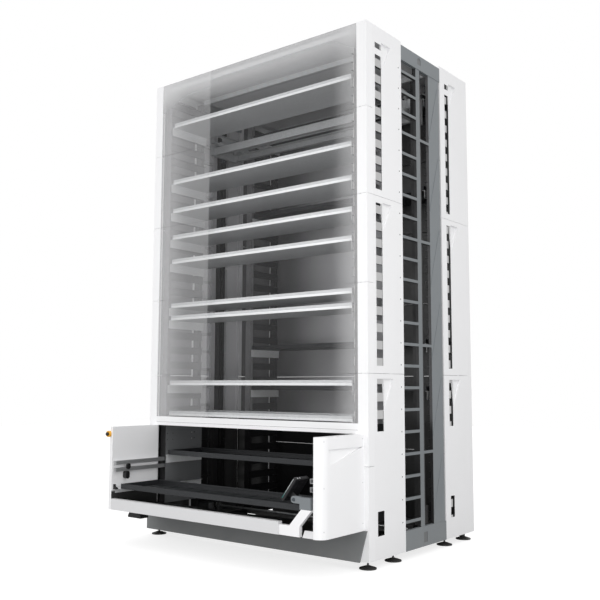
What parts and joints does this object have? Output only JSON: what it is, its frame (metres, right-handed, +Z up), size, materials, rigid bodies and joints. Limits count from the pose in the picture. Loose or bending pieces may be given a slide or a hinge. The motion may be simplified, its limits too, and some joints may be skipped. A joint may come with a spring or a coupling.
{
  "type": "vertical lift module",
  "caption": "Vertical lift module: two storage columns of trays with a lift shaft between them, white covers, and an external picking bay with a tilting console.",
  "frame": {"origin": "middle of the machine's width and of its whole depth with the bay, on the floor under the feet", "axes": "+X right as seen from the picking bay, +Y back, away from the bay, +Z up"},
  "size_m": [3.68, 3.417, 6.395],
  "materials": {
    "white_paint": "semi-gloss powder coat",
    "grey_paint": "semi-matt powder coat",
    "dark_steel": "matt paint",
    "black_steel": "matt paint",
    "galvanised": "galvanised sheet",
    "bright_steel": "turned steel",
    "aluminium": "natural",
    "belt_rubber": "toothed belt, matt",
    "nylon": "cast nylon",
    "black_plastic": "moulded plastic",
    "yellow_plastic": "moulded plastic",
    "clear_panel": "clear sheet"
  },
  "bodies": {
    "root": {"base_frame": "dark_steel", "levelling_feet": "black_steel", "top_frame": "galvanised", "plinth": "grey_paint", "side_panels_front": "white_paint", "side_panels_rear": "white_paint", "corner_covers": "white_paint", "front_panels": "clear_panel", "front_beam": "white_paint", "rear_panels": "white_paint", "roof_panels": "white_paint", "shaft_ladders": "grey_paint", "wide_columns": "grey_paint", "shaft_end_panels": "grey_paint", "shaft_covers_left": "white_paint", "rack_sides": "galvanised", "tray_supports": "galvanised", "guide_columns": "black_steel", "lift_belts": "belt_rubber", "bearing_housings": "dark_steel", "gearmotor": "black_steel", "bay_side_right": "white_paint", "bay_side_left": "white_paint", "bay_sill": "white_paint", "bay_floor": "black_steel", "bay_guide_rails": "aluminium", "bay_sensors": "black_plastic", "access_side_plates": "dark_steel", "console_arm": "white_paint", "console_box": "grey_paint", "estop_collar": "yellow_plastic", "under_bay_housing": "black_plastic"},
    "carriage": {"carriage_sides": "galvanised", "carriage_beams": "galvanised", "carriage_rails": "galvanised", "guide_shoes": "nylon", "belt_clamps": "bright_steel", "extractor_tracks": "galvanised"},
    "extractor": {"extractor_bars": "bright_steel"},
    "extractor_drive": {"extractor_shaft": "bright_steel"},
    "lift_drive": {"drive_shaft": "bright_steel", "drive_pulleys": "aluminium"},
    "top_wheels": {"top_pulleys": "aluminium"},
    "console_screen": {"console": "black_plastic"},
    "stop_button": {"estop_button": "black_plastic"},
    "tray_front_1_body": {"tray_front_1": "galvanised"},
    "tray_front_2_body": {"tray_front_2": "galvanised"},
    "tray_front_3_body": {"tray_front_3": "galvanised"},
    "tray_front_4_body": {"tray_front_4": "galvanised"},
    "tray_front_5_body": {"tray_front_5": "galvanised"},
    "tray_front_6_body": {"tray_front_6": "galvanised"},
    "tray_front_7_body": {"tray_front_7": "galvanised"},
    "tray_front_8_body": {"tray_front_8": "galvanised"},
    "tray_front_9_body": {"tray_front_9": "galvanised"},
    "tray_waiting_body": {"tray_waiting": "galvanised"},
    "tray_in_bay_body": {"tray_in_bay": "galvanised"},
    "tray_rear_1_body": {"tray_rear_1": "galvanised"},
    "tray_rear_2_body": {"tray_rear_2": "galvanised"},
    "tray_rear_3_body": {"tray_rear_3": "galvanised"},
    "tray_rear_4_body": {"tray_rear_4": "galvanised"}
  },
  "joints": [
    {"name": "lift_travel", "type": "slide", "parent": "root", "child": "carriage", "axis": [0, 0, 1], "range_m": [-5.058, 0]},
    {"name": "extractor_slide", "type": "slide", "parent": "carriage", "child": "extractor", "axis": [0, 1, 0], "range_m": [-0.34, 0.34]},
    {"name": "extractor_turn", "type": "hinge", "parent": "carriage", "child": "extractor_drive", "pos_m": [0, 0.424, 5.6667], "axis": [1, 0, 0], "range_deg": [-407, 407]},
    {"name": "drive_turn", "type": "hinge", "parent": "root", "child": "lift_drive", "pos_m": [0, 0.424, 0.265], "axis": [1, 0, 0], "range_deg": [-1, 7607]},
    {"name": "top_wheel_turn", "type": "hinge", "parent": "root", "child": "top_wheels", "pos_m": [0, 0.424, 6.105], "axis": [1, 0, 0], "range_deg": [-1, 7607]},
    {"name": "console_tilt", "type": "hinge", "parent": "root", "child": "console_screen", "pos_m": [1.385, -1.6585, 0.83], "axis": [0, 1, 0], "range_deg": [-8.5, 30]},
    {"name": "stop_press", "type": "slide", "parent": "root", "child": "stop_button", "axis": [0, 1, 0], "range_m": [0, 0.005], "stiffness_N_per_m": 900, "springref_m": -0.002},
    {"name": "tray_front_1_slide", "type": "slide", "parent": "root", "child": "tray_front_1_body", "axis": [0, 1, 0], "range_m": [0, 0.8655]},
    {"name": "tray_front_2_slide", "type": "slide", "parent": "root", "child": "tray_front_2_body", "axis": [0, 1, 0], "range_m": [0, 0.8655]},
    {"name": "tray_front_3_slide", "type": "slide", "parent": "root", "child": "tray_front_3_body", "axis": [0, 1, 0], "range_m": [0, 0.8655]},
    {"name": "tray_front_4_slide", "type": "slide", "parent": "root", "child": "tray_front_4_body", "axis": [0, 1, 0], "range_m": [0, 0.8655]},
    {"name": "tray_front_5_slide", "type": "slide", "parent": "root", "child": "tray_front_5_body", "axis": [0, 1, 0], "range_m": [0, 0.8655]},
    {"name": "tray_front_6_slide", "type": "slide", "parent": "root", "child": "tray_front_6_body", "axis": [0, 1, 0], "range_m": [0, 0.8655]},
    {"name": "tray_front_7_slide", "type": "slide", "parent": "root", "child": "tray_front_7_body", "axis": [0, 1, 0], "range_m": [0, 0.8655]},
    {"name": "tray_front_8_slide", "type": "slide", "parent": "root", "child": "tray_front_8_body", "axis": [0, 1, 0], "range_m": [0, 0.8655]},
    {"name": "tray_front_9_slide", "type": "slide", "parent": "root", "child": "tray_front_9_body", "axis": [0, 1, 0], "range_m": [0, 0.8655]},
    {"name": "tray_waiting_slide", "type": "slide", "parent": "root", "child": "tray_waiting_body", "axis": [0, 1, 0], "range_m": [0, 0.8655]},
    {"name": "tray_in_bay_slide", "type": "slide", "parent": "root", "child": "tray_in_bay_body", "axis": [0, 1, 0], "range_m": [0, 1.6855]},
    {"name": "tray_rear_1_slide", "type": "slide", "parent": "root", "child": "tray_rear_1_body", "axis": [0, -1, 0], "range_m": [0, 0.8655]},
    {"name": "tray_rear_2_slide", "type": "slide", "parent": "root", "child": "tray_rear_2_body", "axis": [0, -1, 0], "range_m": [0, 0.8655]},
    {"name": "tray_rear_3_slide", "type": "slide", "parent": "root", "child": "tray_rear_3_body", "axis": [0, -1, 0], "range_m": [0, 0.8655]},
    {"name": "tray_rear_4_slide", "type": "slide", "parent": "root", "child": "tray_rear_4_body", "axis": [0, -1, 0], "range_m": [0, 0.8655]}
  ],
  "couplings": [
    {"joint": "drive_turn", "follows": "lift_travel", "rad_per_m": -26.18},
    {"joint": "top_wheel_turn", "follows": "lift_travel", "rad_per_m": -26.18},
    {"joint": "extractor_turn", "follows": "extractor_slide", "rad_per_m": -20.833}
  ]
}
